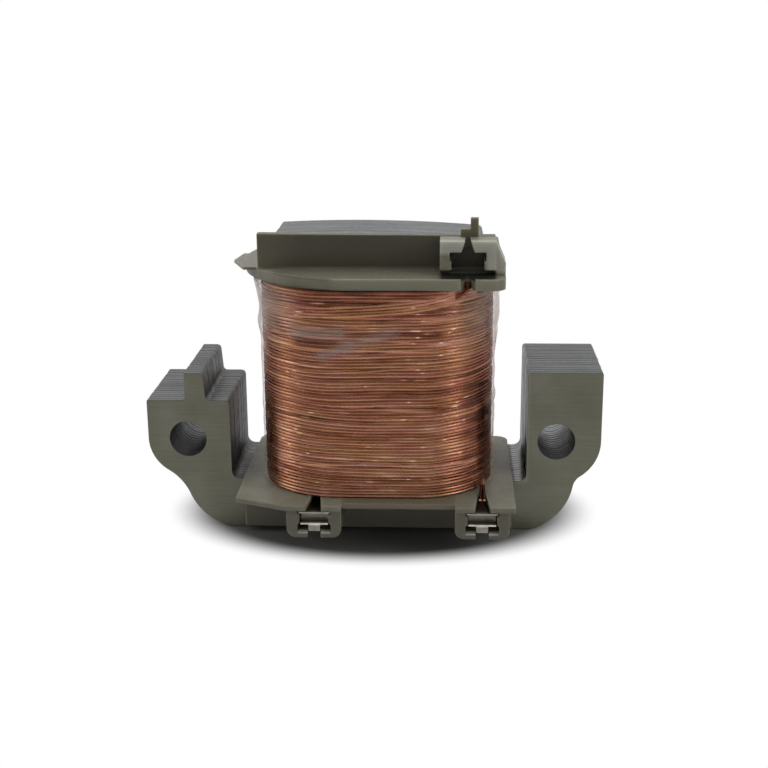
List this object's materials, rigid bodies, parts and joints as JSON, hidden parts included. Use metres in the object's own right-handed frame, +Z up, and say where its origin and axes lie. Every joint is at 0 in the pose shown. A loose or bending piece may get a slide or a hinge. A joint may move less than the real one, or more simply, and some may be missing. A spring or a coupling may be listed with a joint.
{
  "type": "laminated core solenoid coil",
  "caption": "Open electromagnet coil: copper winding on a moulded bobbin over a laminated T pole, in a U yoke with two bolt ears and push-in wire terminals.",
  "frame": {"origin": "centre of the yoke's bottom face, on the pole's axis and half way through the lamination stack", "axes": "+X along the line of the two bolt ears, towards the taller ear; +Y through the stack, away from the terminals; +Z up the pole"},
  "size_m": [0.0676, 0.0399, 0.0477],
  "materials": {
    "core_steel": "stamped electrical steel, matt, with sheet edges showing",
    "bobbin_nylon": "moulded natural grey nylon, slightly translucent",
    "winding_copper": "enamelled copper wire",
    "tape_film": "clear polyester tape, a little hazy",
    "terminal_tin": "tin plated bronze"
  },
  "bodies": {
    "root": {"yoke_lamination_01": "core_steel", "yoke_lamination_02": "core_steel", "yoke_lamination_03": "core_steel", "yoke_lamination_04": "core_steel", "yoke_lamination_05": "core_steel", "yoke_lamination_06": "core_steel", "yoke_lamination_07": "core_steel", "yoke_lamination_08": "core_steel", "yoke_lamination_09": "core_steel", "yoke_lamination_10": "core_steel", "yoke_lamination_11": "core_steel", "yoke_lamination_12": "core_steel", "yoke_lamination_13": "core_steel", "yoke_lamination_14": "core_steel", "yoke_lamination_15": "core_steel", "yoke_lamination_16": "core_steel", "yoke_lamination_17": "core_steel", "pole_lamination_01": "core_steel", "pole_lamination_02": "core_steel", "pole_lamination_03": "core_steel", "pole_lamination_04": "core_steel", "pole_lamination_05": "core_steel", "pole_lamination_06": "core_steel", "pole_lamination_07": "core_steel", "pole_lamination_08": "core_steel", "pole_lamination_09": "core_steel", "pole_lamination_10": "core_steel", "pole_lamination_11": "core_steel", "pole_lamination_12": "core_steel", "pole_lamination_13": "core_steel", "pole_lamination_14": "core_steel", "pole_lamination_15": "core_steel", "pole_lamination_16": "core_steel", "pole_lamination_17": "core_steel", "bobbin": "bobbin_nylon", "winding": "winding_copper", "tape_wrap": "tape_film", "left_terminal": "terminal_tin", "right_terminal": "terminal_tin", "start_lead": "winding_copper", "finish_lead": "winding_copper"}
  },
  "joints": []
}
